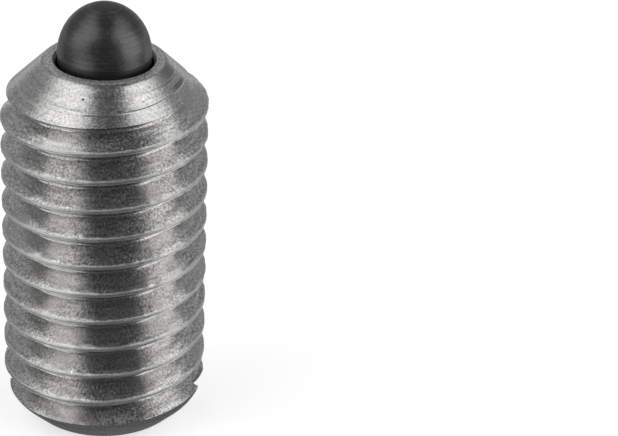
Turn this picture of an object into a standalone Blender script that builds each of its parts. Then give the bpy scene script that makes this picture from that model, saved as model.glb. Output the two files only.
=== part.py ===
"""Spring plunger: a threaded sleeve with a screwdriver slot, a thrust pin and the spring behind it.

The plunger stands on its slotted end: z = 0 is the slotted end face and +Z points to the pin.
The screwdriver slot runs along X. The pin slides down along Z into the sleeve when it is pressed.
All lengths are in metres.
"""

import math

import bmesh
import bpy

MM = 0.001

# Thread of the sleeve: right-hand, single start
CREST_DIAMETER = 9.9 * MM
PITCH = 1.5 * MM
THREAD_DEPTH = 0.86 * MM
CREST_WIDTH = 0.20 * MM
HALF_FLANK_ANGLE = math.radians(30)
CREST_HEIGHT_OVER_X = 0.20 * MM

# Outer ends of the sleeve
SLEEVE_LENGTH = 19.0 * MM
BASE_LEAD_IN_WIDTH = 1.75 * MM
BASE_EDGE_RADIUS = 1.0 * MM
BASE_CONE_ANGLE = math.radians(50)
NOSE_CONE_ANGLE = math.radians(41.5)
ROLLED_RIM_RADIUS = 1.4 * MM
ROLLED_RIM_EDGE_ANGLE = math.radians(10)

# Screwdriver slot
SLOT_WIDTH = 1.6 * MM
SLOT_DEPTH = 1.95 * MM

# Thrust pin
PIN_PROJECTION = 2.8 * MM
PIN_DOME_HEIGHT = 2.5 * MM
PIN_TIP_FLAT_RADIUS = 0.35 * MM
SHOULDER_WIDTH = 0.65 * MM
COLLAR_LENGTH = 3.2 * MM
SPIGOT_LENGTH = 1.5 * MM
SPIGOT_CHAMFER = 0.25 * MM

# Bore of the sleeve
WALL_UNDER_THREAD = 0.99 * MM
LIP_THICKNESS = 1.1 * MM
LIP_TAPER_HEIGHT = 0.40 * MM
BORE_FLOOR_THICKNESS = 2.4 * MM
DRILL_POINT_RADIUS = 1.3 * MM
DRILL_POINT_HEIGHT = 0.6 * MM

# Spring
WIRE_DIAMETER = 0.7 * MM
ACTIVE_TURNS = 5
CLOSED_TURNS_PER_END = 1
CLOSED_TURN_GAP = 0.08 * MM

# Clearances
PIN_TO_RIM_CLEARANCE = 0.25 * MM
COLLAR_TO_BORE_CLEARANCE = 0.20 * MM
SPRING_TO_BORE_CLEARANCE = 0.30 * MM
SPIGOT_TO_SPRING_CLEARANCE = 0.35 * MM
SEAT_GAP = 0.30 * MM

# Mesh density and shading
STEPS_PER_TURN = 48
SPRING_POINTS_PER_TURN = 20
WIRE_RESOLUTION = 2
DOME_STEPS = 12
RIM_STEPS = 5
BASE_EDGE_STEPS = 3
MERGE_DISTANCE = 0.001 * MM
SHARP_EDGE_ANGLE = math.radians(30)

# How far the forms that cut the sleeve reach past it
BLANK_ALLOWANCE = 0.5 * MM
SLOT_CUTTER_OVERSHOOT = 1.0 * MM
THREAD_SPARE_TURNS = 2

# Radii, from the thread inwards
CREST_RADIUS = CREST_DIAMETER / 2
ROOT_RADIUS = CREST_RADIUS - THREAD_DEPTH
BLANK_RADIUS = CREST_RADIUS + BLANK_ALLOWANCE
BASE_FLAT_RADIUS = CREST_RADIUS - BASE_LEAD_IN_WIDTH
BORE_RADIUS = ROOT_RADIUS - WALL_UNDER_THREAD
COLLAR_RADIUS = BORE_RADIUS - COLLAR_TO_BORE_CLEARANCE
PIN_RADIUS = COLLAR_RADIUS - SHOULDER_WIDTH
HOLE_RADIUS = PIN_RADIUS + PIN_TO_RIM_CLEARANCE
COIL_RADIUS = BORE_RADIUS - SPRING_TO_BORE_CLEARANCE - WIRE_DIAMETER / 2
SPIGOT_RADIUS = COIL_RADIUS - WIRE_DIAMETER / 2 - SPIGOT_TO_SPRING_CLEARANCE

# Heights above the slotted end face
LIP_UNDERSIDE = SLEEVE_LENGTH - LIP_THICKNESS
BORE_TOP = LIP_UNDERSIDE - LIP_TAPER_HEIGHT
BORE_FLOOR = SLOT_DEPTH + BORE_FLOOR_THICKNESS
PIN_TIP = SLEEVE_LENGTH + PIN_PROJECTION
DOME_FOOT = PIN_TIP - PIN_DOME_HEIGHT
COLLAR_TOP = BORE_TOP - SEAT_GAP
COLLAR_SHOULDER = COLLAR_TOP + LIP_TAPER_HEIGHT
COLLAR_FOOT = COLLAR_TOP - COLLAR_LENGTH
SPIGOT_FOOT = COLLAR_FOOT - SPIGOT_LENGTH
SPRING_FOOT = BORE_FLOOR + SEAT_GAP
SPRING_TOP = COLLAR_FOOT - SEAT_GAP


def clear_scene():
    for scene_object in list(bpy.data.objects):
        bpy.data.objects.remove(scene_object, do_unlink=True)


def make_collection(name):
    collection = bpy.data.collections.new(name)
    bpy.context.scene.collection.children.link(collection)
    return collection


def make_metal(name, colour, roughness, metallic):
    material = bpy.data.materials.new(name)
    material.use_nodes = True
    shader = material.node_tree.nodes["Principled BSDF"]
    shader.inputs["Base Color"].default_value = (*colour, 1.0)
    shader.inputs["Roughness"].default_value = roughness
    shader.inputs["Metallic"].default_value = metallic
    return material


def mesh_object(name, bm, collection):
    """A new object with the mesh that was built in bm."""
    mesh = bpy.data.meshes.new(name)
    bm.to_mesh(mesh)
    bm.free()
    new_object = bpy.data.objects.new(name, mesh)
    collection.objects.link(new_object)
    return new_object


def arc_points(centre_radius, centre_height, half_width, half_height, start, end, steps):
    """Points (radius, height) along an elliptic arc, from the start angle to the end angle."""
    points = []
    for step in range(steps + 1):
        angle = start + (end - start) * step / steps
        radius = centre_radius + half_width * math.cos(angle)
        height = centre_height + half_height * math.sin(angle)
        points.append((radius, height))
    return points


def profile_object(name, points, collection):
    """An object whose mesh is a line of edges through (radius, height) points in the XZ plane."""
    bm = bmesh.new()
    verts = [bm.verts.new((radius, 0.0, height)) for radius, height in points]
    for first, second in zip(verts, verts[1:]):
        bm.edges.new((first, second))
    return mesh_object(name, bm, collection)


def add_screw(target, turns=1, rise=0.0):
    """Turn a profile about Z; with a rise per turn it becomes a helical form."""
    screw = target.modifiers.new("Turn", "SCREW")
    screw.axis = "Z"
    screw.angle = 2 * math.pi
    screw.iterations = turns
    screw.screw_offset = rise
    screw.steps = STEPS_PER_TURN
    screw.render_steps = STEPS_PER_TURN
    screw.use_merge_vertices = rise == 0.0
    screw.merge_threshold = MERGE_DISTANCE


def add_boolean(target, tool, operation):
    boolean = target.modifiers.new(tool.name, "BOOLEAN")
    boolean.operation = operation
    boolean.solver = "EXACT"
    boolean.object = tool


def mark_as_cutter(cutter):
    cutter.hide_render = True
    cutter.display_type = "WIRE"


def applied_copy(source, name, collection):
    """A plain mesh object of what the source's modifiers make; the source is removed."""
    bpy.context.view_layer.update()
    depsgraph = bpy.context.evaluated_depsgraph_get()
    mesh = bpy.data.meshes.new_from_object(source.evaluated_get(depsgraph))
    mesh.name = name
    result = bpy.data.objects.new(name, mesh)
    collection.objects.link(result)
    bpy.data.objects.remove(source, do_unlink=True)
    return result


def finish_turned(source, name, collection, material):
    """Apply the modifiers, shade the round faces smooth and keep the turned corners sharp."""
    piece = applied_copy(source, name, collection)
    piece.data.shade_smooth()
    piece.data.set_sharp_from_angle(angle=SHARP_EDGE_ANGLE)
    piece.data.materials.clear()
    piece.data.materials.append(material)
    return piece


def close_ends_to_axis(mesh, bottom, top):
    """Close an open-ended screw form by drawing each rim to a point on the axis."""
    bm = bmesh.new()
    bm.from_mesh(mesh)
    bmesh.ops.remove_doubles(bm, verts=bm.verts, dist=MERGE_DISTANCE)
    middle = (bottom + top) / 2
    rim_edges = [edge for edge in bm.edges if edge.is_boundary]
    for height, above in ((bottom, False), (top, True)):
        rim = [edge for edge in rim_edges if (edge.verts[0].co.z > middle) == above]
        drawn = bmesh.ops.extrude_edge_only(bm, edges=rim)["geom"]
        rim_copy = [item for item in drawn if isinstance(item, bmesh.types.BMVert)]
        bmesh.ops.pointmerge(bm, verts=rim_copy, merge_co=(0.0, 0.0, height))
    bmesh.ops.recalc_face_normals(bm, faces=bm.faces)
    bm.to_mesh(mesh)
    bm.free()


def rolled_rim_profile():
    """The rim rolled in over the pin's collar, from the hole's edge out to the nose cone."""
    edge_normal = math.pi / 2 - ROLLED_RIM_EDGE_ANGLE
    cone_normal = math.pi / 2 - NOSE_CONE_ANGLE
    return arc_points(
        HOLE_RADIUS - ROLLED_RIM_RADIUS * math.cos(edge_normal),
        SLEEVE_LENGTH - ROLLED_RIM_RADIUS * math.sin(edge_normal),
        ROLLED_RIM_RADIUS,
        ROLLED_RIM_RADIUS,
        edge_normal,
        cone_normal,
        RIM_STEPS,
    )


def base_edge_profile():
    """The rounded edge of the slotted end, from the lead-in cone down to the flat end face."""
    return arc_points(
        BASE_FLAT_RADIUS,
        BASE_EDGE_RADIUS,
        BASE_EDGE_RADIUS,
        BASE_EDGE_RADIUS,
        BASE_CONE_ANGLE - math.pi / 2,
        -math.pi / 2,
        BASE_EDGE_STEPS,
    )


def blank_profile():
    """Half section of the turned and bored blank, from the bore floor round to the end face."""
    bore = [
        (0.0, BORE_FLOOR - DRILL_POINT_HEIGHT),
        (DRILL_POINT_RADIUS, BORE_FLOOR),
        (BORE_RADIUS, BORE_FLOOR),
        (BORE_RADIUS, BORE_TOP),
        (HOLE_RADIUS, LIP_UNDERSIDE),
    ]
    rim = rolled_rim_profile()
    base_edge = base_edge_profile()
    nose_radius, nose_top = rim[-1]
    base_radius, base_height = base_edge[0]
    outside = [
        (BLANK_RADIUS, nose_top - (BLANK_RADIUS - nose_radius) * math.tan(NOSE_CONE_ANGLE)),
        (BLANK_RADIUS, base_height + (BLANK_RADIUS - base_radius) * math.tan(BASE_CONE_ANGLE)),
    ]
    return bore + rim + outside + base_edge + [(0.0, 0.0)]


def thread_profile(crest_height):
    """One pitch of the thread, from the root above a crest down to the root below it."""
    half_crest = CREST_WIDTH / 2
    half_foot = half_crest + THREAD_DEPTH * math.tan(HALF_FLANK_ANGLE)
    return [
        (ROOT_RADIUS, crest_height + PITCH - half_foot),
        (ROOT_RADIUS, crest_height + half_foot),
        (CREST_RADIUS, crest_height + half_crest),
        (CREST_RADIUS, crest_height - half_crest),
        (ROOT_RADIUS, crest_height - half_foot),
    ]


def make_thread_form(collection):
    """A threaded rod, longer than the sleeve at both ends, that gives the blank its thread.

    Its facets are turned by half a step against the blank's, so that no edges coincide.
    """
    half_step = math.pi / STEPS_PER_TURN
    turns = math.ceil(SLEEVE_LENGTH / PITCH) + 2 * THREAD_SPARE_TURNS
    crest_height = CREST_HEIGHT_OVER_X + PITCH * (half_step / (2 * math.pi) - THREAD_SPARE_TURNS)
    line = profile_object("thread_line", thread_profile(crest_height), collection)
    add_screw(line, turns=turns, rise=PITCH)
    rod = applied_copy(line, "thread_form", collection)
    rod_bottom = crest_height - PITCH
    rod_top = rod_bottom + (turns + 2) * PITCH
    close_ends_to_axis(rod.data, rod_bottom, rod_top)
    rod.rotation_euler.z = half_step
    mark_as_cutter(rod)
    return rod


def make_slot_cutter(collection):
    """A saw cut across the whole end, open below the end face and at both sides."""
    length = 2 * (CREST_RADIUS + SLOT_CUTTER_OVERSHOOT)
    height = SLOT_DEPTH + SLOT_CUTTER_OVERSHOOT
    bm = bmesh.new()
    bmesh.ops.create_cube(bm, size=1.0)
    bmesh.ops.scale(bm, vec=(length, SLOT_WIDTH, height), verts=bm.verts)
    bmesh.ops.translate(bm, vec=(0.0, 0.0, SLOT_DEPTH - height / 2), verts=bm.verts)
    cutter = mesh_object("slot_cutter", bm, collection)
    mark_as_cutter(cutter)
    return cutter


def make_sleeve(collection, cutters):
    """The sleeve is turned and bored, then threaded, then its slot is sawn."""
    blank = profile_object("sleeve_blank", blank_profile(), collection)
    add_screw(blank)
    add_boolean(blank, make_thread_form(cutters), "INTERSECT")
    add_boolean(blank, make_slot_cutter(cutters), "DIFFERENCE")
    steel = make_metal("turned_steel", (0.42, 0.41, 0.40), 0.35, 1.0)
    return finish_turned(blank, "threaded_sleeve", collection, steel)


def pin_profile():
    """Half section of the pin, from the tip down its outer side to the spigot inside the spring."""
    flat_angle = math.acos(PIN_TIP_FLAT_RADIUS / PIN_RADIUS)
    dome = arc_points(0.0, DOME_FOOT, PIN_RADIUS, PIN_DOME_HEIGHT, flat_angle, 0.0, DOME_STEPS)
    tip = [(0.0, dome[0][1])]
    stem = [
        (PIN_RADIUS, COLLAR_SHOULDER),
        (COLLAR_RADIUS, COLLAR_TOP),
        (COLLAR_RADIUS, COLLAR_FOOT),
        (SPIGOT_RADIUS, COLLAR_FOOT),
        (SPIGOT_RADIUS, SPIGOT_FOOT + SPIGOT_CHAMFER),
        (SPIGOT_RADIUS - SPIGOT_CHAMFER, SPIGOT_FOOT),
        (0.0, SPIGOT_FOOT),
    ]
    return tip + dome + stem


def make_pin(collection):
    section = profile_object("pin_section", pin_profile(), collection)
    add_screw(section)
    steel = make_metal("blackened_steel", (0.06, 0.06, 0.06), 0.45, 0.9)
    return finish_turned(section, "thrust_pin", collection, steel)


def spring_rise(turn, closed_rise, active_rise):
    """Height of the wire above its lower end, after a number of turns from that end."""
    lower_closed = min(turn, CLOSED_TURNS_PER_END)
    active = min(max(turn - CLOSED_TURNS_PER_END, 0.0), ACTIVE_TURNS)
    upper_closed = max(turn - CLOSED_TURNS_PER_END - ACTIVE_TURNS, 0.0)
    return (lower_closed + upper_closed) * closed_rise + active * active_rise


def make_spring(collection):
    """Compression spring with a closed turn at each end, between the bore floor and the collar."""
    closed_rise = WIRE_DIAMETER + CLOSED_TURN_GAP
    centre_rise = SPRING_TOP - SPRING_FOOT - WIRE_DIAMETER
    active_rise = (centre_rise - 2 * CLOSED_TURNS_PER_END * closed_rise) / ACTIVE_TURNS
    curve = bpy.data.curves.new("spring_wire", "CURVE")
    curve.dimensions = "3D"
    curve.bevel_depth = WIRE_DIAMETER / 2
    curve.bevel_resolution = WIRE_RESOLUTION
    curve.use_fill_caps = True
    wire = curve.splines.new("POLY")
    turns = ACTIVE_TURNS + 2 * CLOSED_TURNS_PER_END
    wire.points.add(turns * SPRING_POINTS_PER_TURN)
    for index, point in enumerate(wire.points):
        turn = index / SPRING_POINTS_PER_TURN
        angle = 2 * math.pi * turn
        height = SPRING_FOOT + WIRE_DIAMETER / 2 + spring_rise(turn, closed_rise, active_rise)
        point.co = (COIL_RADIUS * math.cos(angle), COIL_RADIUS * math.sin(angle), height, 1.0)
    spring = bpy.data.objects.new("spring", curve)
    collection.objects.link(spring)
    curve.materials.append(make_metal("spring_steel", (0.30, 0.30, 0.31), 0.3, 1.0))
    return spring


def main():
    clear_scene()
    plunger = make_collection("spring_plunger")
    cutters = make_collection("cutters")
    make_sleeve(plunger, cutters)
    make_pin(plunger)
    make_spring(plunger)


main()
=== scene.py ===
"""Looks of the spring plunger: fine meshes, metal finishes, a pale floor and soft studio light.

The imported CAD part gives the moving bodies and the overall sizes. Profiles are worked out in
millimetres, and the meshes made from them are in metres, like the frame.
"""

import math

import bmesh
import bpy
import numpy as np
from mathutils import Matrix, Vector, noise


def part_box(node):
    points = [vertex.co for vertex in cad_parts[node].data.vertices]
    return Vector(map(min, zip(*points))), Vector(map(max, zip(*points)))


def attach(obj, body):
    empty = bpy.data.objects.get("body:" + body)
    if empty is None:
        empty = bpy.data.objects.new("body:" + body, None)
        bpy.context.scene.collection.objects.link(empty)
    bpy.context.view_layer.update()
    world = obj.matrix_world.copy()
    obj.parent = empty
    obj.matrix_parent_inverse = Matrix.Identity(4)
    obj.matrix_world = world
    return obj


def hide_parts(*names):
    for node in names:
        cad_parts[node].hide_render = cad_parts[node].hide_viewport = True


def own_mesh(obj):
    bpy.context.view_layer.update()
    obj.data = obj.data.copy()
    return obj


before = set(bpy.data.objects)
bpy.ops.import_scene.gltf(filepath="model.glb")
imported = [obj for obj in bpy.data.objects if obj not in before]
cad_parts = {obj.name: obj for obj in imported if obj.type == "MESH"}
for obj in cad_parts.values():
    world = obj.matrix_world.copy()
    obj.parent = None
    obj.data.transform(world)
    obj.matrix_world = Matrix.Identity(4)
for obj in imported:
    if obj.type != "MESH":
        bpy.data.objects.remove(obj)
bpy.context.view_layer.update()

MM = 0.001

# Sleeve, in millimetres
SLEEVE_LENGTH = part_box("threaded_sleeve")[1].z / MM
CREST_RADIUS = 4.95
PITCH = 1.5
THREAD_DEPTH = 0.98
CREST_WIDTH = 0.20
HALF_FLANK_ANGLE = math.radians(30)
CREST_HEIGHT_OVER_X = 0.20
BASE_FLAT_RADIUS = 3.3
BASE_EDGE_RADIUS = 0.6
BASE_CONE_ANGLE = math.radians(44)
BASE_SHOULDER_RADIUS = 4.45
BASE_SHOULDER_ROUNDING = 1.8
BASE_SHOULDER_TOP_SLOPE = math.radians(5)
NOSE_CONE_ANGLE = math.radians(45)
RIM_FLAT_RADIUS = 2.74
RIM_ROUNDING = 0.45
SLOT_WIDTH = 1.6
SLOT_DEPTH = 1.95

# Bore of the sleeve, closed in by the rolled lip
HOLE_RADIUS = 2.34
BORE_RADIUS = 3.1
LIP_THICKNESS = 1.1
LIP_TAPER_HEIGHT = 0.4
LIP_UNDERSIDE = SLEEVE_LENGTH - LIP_THICKNESS
BORE_TOP = LIP_UNDERSIDE - LIP_TAPER_HEIGHT
BORE_FLOOR_THICKNESS = 2.4
BORE_FLOOR = SLOT_DEPTH + BORE_FLOOR_THICKNESS
DRILL_POINT_RADIUS = 1.3
DRILL_POINT_HEIGHT = 0.6

# Fine forms that the CAD part leaves out. The lip stands on the thread's crest, and the flank is straight
# from a small depth below the crest. Tears are dents in the lip, and waves move it up and down.
CREST_LIP = 0.04
CREST_SEAM_DEPTH = 0.018
FLANK_START_BELOW = 0.10
FLANK_START_ABOVE = 0.09
CREST_TEAR_DEPTH = 0.035
LONG_TEAR = 0.55
SHORT_TEAR = 0.21
SHORT_TEAR_SHARE = 0.8
TEAR_THRESHOLD = 0.10
CREST_WAVE_HEIGHT = 0.03
CREST_WAVE_LENGTH = 0.34
HOLE_CHAMFER = 0.14
HOLE_CHAMFER_ANGLE = math.radians(50)
SLOT_MOUTH_CHAMFER = 0.05
SLOT_CORNER_RADIUS = 0.12

# The first groove by the slotted end, in turns: where it starts and where it reaches its full depth
FIRST_GROOVE_START = 0.03
FIRST_GROOVE_FULL = 0.40

# Pin
PIN_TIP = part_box("thrust_pin")[1].z / MM
PIN_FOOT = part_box("thrust_pin")[0].z / MM
PIN_RADIUS = 2.25
PIN_DOME_HEIGHT = 2.5
PIN_TIP_FLAT_RADIUS = 0.35
PIN_COLLAR_RADIUS = 2.9
PIN_COLLAR_LENGTH = 3.2
PIN_TO_LIP_GAP = 0.3
PIN_COLLAR_SHOULDER = LIP_UNDERSIDE - PIN_TO_LIP_GAP
PIN_COLLAR_TOP = PIN_COLLAR_SHOULDER - LIP_TAPER_HEIGHT
PIN_COLLAR_FOOT = PIN_COLLAR_TOP - PIN_COLLAR_LENGTH
PIN_SPIGOT_RADIUS = 1.75
PIN_SPIGOT_CHAMFER = 0.25

# Spring
SPRING_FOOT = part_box("spring")[0].z / MM
SPRING_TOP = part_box("spring")[1].z / MM
WIRE_RADIUS = 0.35
COIL_RADIUS = 2.45
ACTIVE_TURNS = 5
CLOSED_TURNS = 1
CLOSED_TURN_GAP = 0.08

# Mesh density: steps round the axis, and along an arc of a profile
THREAD_STEPS = 288
LATHE_STEPS = 192
SPRING_STEPS = 48
CARD_STEPS = 96
ARC_STEPS = 8
DOME_STEPS = 48
ROOT_FILLET_STEPS = 3
SLOT_CORNER_STEPS = 4
WIRE_RESOLUTION = 4
SHARP_EDGE_ANGLE = math.radians(32)

# How far the forms reach past the sleeve before they are cut
BLANK_ALLOWANCE = 0.5
CUTTER_OVERSHOOT = 1.0
SPARE_TURNS = 2

# Camera, fitted to the photograph
IMAGE_WIDTH = 618
SENSOR_WIDTH = 36.0
FOCAL_PIXELS = 2704.13
CAMERA_AZIMUTH = math.radians(10.2)
CAMERA_ELEVATION = math.radians(28.187)
CAMERA_DISTANCE = 132.59
CAMERA_TARGET_HEIGHT = 10.48
CAMERA_TURN = math.radians(4.3235)
CAMERA_TILT = math.radians(0.027)

# Finishes. On the +Y side the sort mark fades out between two heights, and reaches higher on the thread.
SORT_MARK_WIDTH = 0.95
SORT_MARK_FADE_START = 1.0
SORT_MARK_TOP_ON_THREAD = 1.9
SORT_MARK_TOP = 1.4
SORT_MARK_ON_THREAD = (0.085, 0.068, 0.060, 1.0)
SORT_MARK_COLOUR = (0.060, 0.052, 0.048, 1.0)
RIM_BAND = (2.40, 2.84)
PIN_TIP_RING_RADIUS = 0.76
NOSE_STEP_RADIUS = 3.91
NOSE_STEP_DRIFT = 0.15

# Marks on the nose. Each starts with an azimuth in degrees and a distance from the axis. Pits and flecks
# then have a size, and stains half their width in degrees, half their depth and how dark they are.
NOSE_PITS = [(-72.8, 4.46, 0.085), (-84.4, 2.48, 0.06), (-96.4, 3.49, 0.07)]
NOSE_FLECKS = [
    (-22.4, 2.89, 0.07),
    (-20.5, 4.22, 0.07),
    (-49.7, 3.58, 0.06),
    (-151.6, 4.53, 0.07),
    (-133.1, 4.51, 0.07),
    (-94.4, 3.42, 0.06),
    (-82.4, 2.54, 0.07),
]
NOSE_STAINS = [
    (-8.0, 3.14, 13.0, 0.26, 0.55),
    (-9.0, 3.69, 13.0, 0.11, 0.65),
    (-16.5, 3.41, 10.0, 0.035, 0.60),
    (-77.7, 3.70, 5.0, 0.025, 0.40),
    (-59.4, 3.52, 2.0, 0.06, 0.40),
    (-20.2, 4.36, 2.0, 0.07, 0.60),
]

# Soft boxes overhead: the ranges that they span sideways and forwards, as tangents of the angle from
# straight up, and how bright they are, where white is 1
BOX_HEIGHT = 300.0
SOFT_BOXES = {
    "left_box": ((-1.15, -0.28), (0.0, 1.0), 1.15),
    "right_box": ((0.44, 1.15), (0.0, 1.0), 1.20),
    "left_rear_box": ((-1.15, -0.28), (-0.50, 0.0), 0.80),
    "right_rear_box": ((0.40, 1.15), (-0.46, 0.0), 0.80),
}

# Upright soft panels: degrees right of the camera's direction, height of the lower edge and brightness
PANEL_DISTANCE = 300.0
PANEL_WIDTH = 300.0
PANEL_TOP = 260.0
SIDE_PANELS = {
    "left_panel": (-72, 60.0, 1.0),
    "right_panel": (72, 0.0, 1.25),
}

# Room: palest low down behind, in a direction given as shares towards the camera, to the right and up.
# It is dark below the first cosine of the angle from there, and pale above the second.
ROOM_DARK = 0.08
ROOM_PALE = 0.29
PALEST_DIRECTION = (-0.60, -0.15, -0.75)
DARK_COSINE = -0.82
PALE_COSINE = -0.05

# Floor
FLOOR_HALF_WIDTH = 1500.0
FLOOR_COLOUR = 0.86
FLOOR_GLOW = 0.62

# Dark cards on the floor: from and to in degrees right of the camera's direction, the softness of
# those two sides, the nearest and farthest distance and how dark it is
DARK_CARDS = [
    (-42, 64, 24, 10.0, 600.0, 0.92),
    (-130, -70, 14, 22.0, 600.0, 0.80),
    # A short card left of the foot adds painted shadow near the foot
    (-130, -50, 8, 6.0, 14.0, 0.90),
    (84, 118, 6, 10.0, 300.0, 0.70),
    (120, 200, 12, 4.0, 300.0, 0.62),
    (-200, -120, 12, 4.0, 300.0, 0.62),
]
CARD_REACH = 600.0
CARD_FADE_START = 0.8
CARD_GAP = 0.1
CARD_LIFT = 0.02
FOOT_SHADOW_REACH = 10.0
FOOT_SHADOW_FADE_START = 0.6
FOOT_SHADOW_DARKNESS = 0.86


def to_metres(points):
    return [tuple(value * MM for value in point) for point in points]


def round_axis(radius, angle, height):
    """The point at a radius, an angle and a height from the part's axis."""
    return (radius * math.cos(angle), radius * math.sin(angle), height)


def mesh_object(name, verts, faces, slots=None):
    """A mesh object from corners in millimetres; slots gives a material index for each face."""
    mesh = bpy.data.meshes.new(name)
    mesh.from_pydata(to_metres(verts), [], faces)
    if slots is not None:
        mesh.polygons.foreach_set("material_index", slots)
    mesh.update()
    new_object = bpy.data.objects.new(name, mesh)
    bpy.context.scene.collection.objects.link(new_object)
    return new_object


def arc(centre_radius, centre_height, radius, start, end, steps, height_radius=None):
    """Points (radius, height) on an arc; height_radius makes it an ellipse."""
    tall = radius if height_radius is None else height_radius
    points = []
    for step in range(steps + 1):
        angle = start + (end - start) * step / steps
        points.append((centre_radius + radius * math.cos(angle), centre_height + tall * math.sin(angle)))
    return points


def lathe(name, profile, steps):
    """Turn a closed profile of (radius, height, slot) about Z; it starts and ends on the axis.

    The profile runs up the inside and down the outside. Each point's slot is the material of the
    band that follows it.
    """
    verts = []
    rings = []
    for radius, height, _ in profile:
        if radius == 0.0:
            rings.append([len(verts)] * steps)
            verts.append((0.0, 0.0, height))
            continue
        rings.append(list(range(len(verts), len(verts) + steps)))
        verts += [round_axis(radius, 2 * math.pi * step / steps, height) for step in range(steps)]
    faces = []
    slots = []
    for (first, second), (_, _, slot) in zip(zip(rings, rings[1:]), profile):
        for step in range(steps):
            after = (step + 1) % steps
            corners = [first[step], second[step], second[after], first[after]]
            faces.append(list(dict.fromkeys(corners)))
            slots.append(slot)
    return mesh_object(name, verts, faces, slots)


def with_value(points, value):
    """The points of a profile, each with the same third value, such as its material's number."""
    return [(radius, height, value) for radius, height in points]


# Sleeve. Its materials are known by these numbers.

THREAD, TURNED, BORED, FACED, SAWN = range(5)


def thread_section():
    """One pitch of the thread from root to root, going up: (radius, height from the crest, tear share).

    The tear share says how far tears and waves reach there, from 0 to 1.
    """
    root = CREST_RADIUS - THREAD_DEPTH
    half_pitch = PITCH / 2
    half_crest = CREST_WIDTH / 2
    half_foot = half_crest + THREAD_DEPTH * math.tan(HALF_FLANK_ANGLE)
    fillet = (half_pitch - half_foot) / math.tan(HALF_FLANK_ANGLE) / (1 / math.sin(HALF_FLANK_ANGLE) - 1)
    tangent = math.pi / 2 + HALF_FLANK_ANGLE
    lower_root = arc(root + fillet, -half_pitch, fillet, math.pi, tangent, ROOT_FILLET_STEPS)
    upper_root = arc(root + fillet, half_pitch, fillet, -tangent, -math.pi, ROOT_FILLET_STEPS)[:-1]
    lip = CREST_RADIUS + CREST_LIP
    seam = lip - CREST_SEAM_DEPTH
    crest = [
        (CREST_RADIUS, -half_crest, 0.7),
        (lip, -half_crest * 0.75, 1.0),
        (seam, -half_crest * 0.40, 0.3),
        (seam, -half_crest * 0.15, 0.3),
        (lip, half_crest * 0.20, 0.8),
        (lip, half_crest * 0.70, 1.0),
        (CREST_RADIUS, half_crest, 0.7),
    ]
    below = lower_root + [flank_point(-1, FLANK_START_BELOW)]
    middle_depth = 0.45 * THREAD_DEPTH
    above = [flank_point(1, FLANK_START_ABOVE), flank_point(1, middle_depth)] + upper_root
    return with_value(below, 0.0) + crest + with_value(above, 0.0)


def flank_point(side, depth):
    """A point of the flank, above the crest for side 1 or below it for -1, at a depth from the crest."""
    return CREST_RADIUS - depth, side * (CREST_WIDTH / 2 + depth * math.tan(HALF_FLANK_ANGLE))


def blend_points(start, end, steps):
    """The points between start and end on the straight line that joins them, without the two ends."""
    points = []
    for step in range(1, steps):
        share = step / steps
        points.append((start[0] + (end[0] - start[0]) * share, start[1] + (end[1] - start[1]) * share))
    return points


def ragged(point, size):
    """Noise from about -1 to 1 that changes over a distance of about size."""
    return noise.noise(Vector(point) / size)


def groove_share(groove_turn):
    """How deep the groove is cut, from 0 to 1: the first one by the slotted end starts shallow."""
    share = (groove_turn - FIRST_GROOVE_START) / (FIRST_GROOVE_FULL - FIRST_GROOVE_START)
    share = min(max(share, 0.0), 1.0)
    return share * share * (3 - 2 * share)


def torn_point(radius, angle, height, tear_share):
    """The point round the axis after the small tears and waves of the crest, which tear_share scales."""
    if tear_share > 0.0:
        place = round_axis(radius, angle, height)
        tear = ragged(place, LONG_TEAR) + SHORT_TEAR_SHARE * ragged(place, SHORT_TEAR) - TEAR_THRESHOLD
        radius += tear_share * CREST_TEAR_DEPTH * min(tear, 0.0)
        height += tear_share * CREST_WAVE_HEIGHT * ragged(place, CREST_WAVE_LENGTH)
    return round_axis(radius, angle, height)


def thread_rod_surface(section, first_turn, turns):
    """The rod's outside: for each turn and each point of the section, a row of points along the helix."""
    verts = []
    for turn in range(first_turn, first_turn + turns):
        for radius, height, tear_share in section:
            for step in range(THREAD_STEPS):
                share = (step + 0.5) / THREAD_STEPS
                groove_turn = turn + share - (1.0 if height < 0.0 else 0.0)
                reach = CREST_RADIUS - (CREST_RADIUS - radius) * groove_share(groove_turn)
                level = CREST_HEIGHT_OVER_X + PITCH * (turn + share) + height
                verts.append(torn_point(reach, 2 * math.pi * share, level, tear_share))
    return verts


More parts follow.
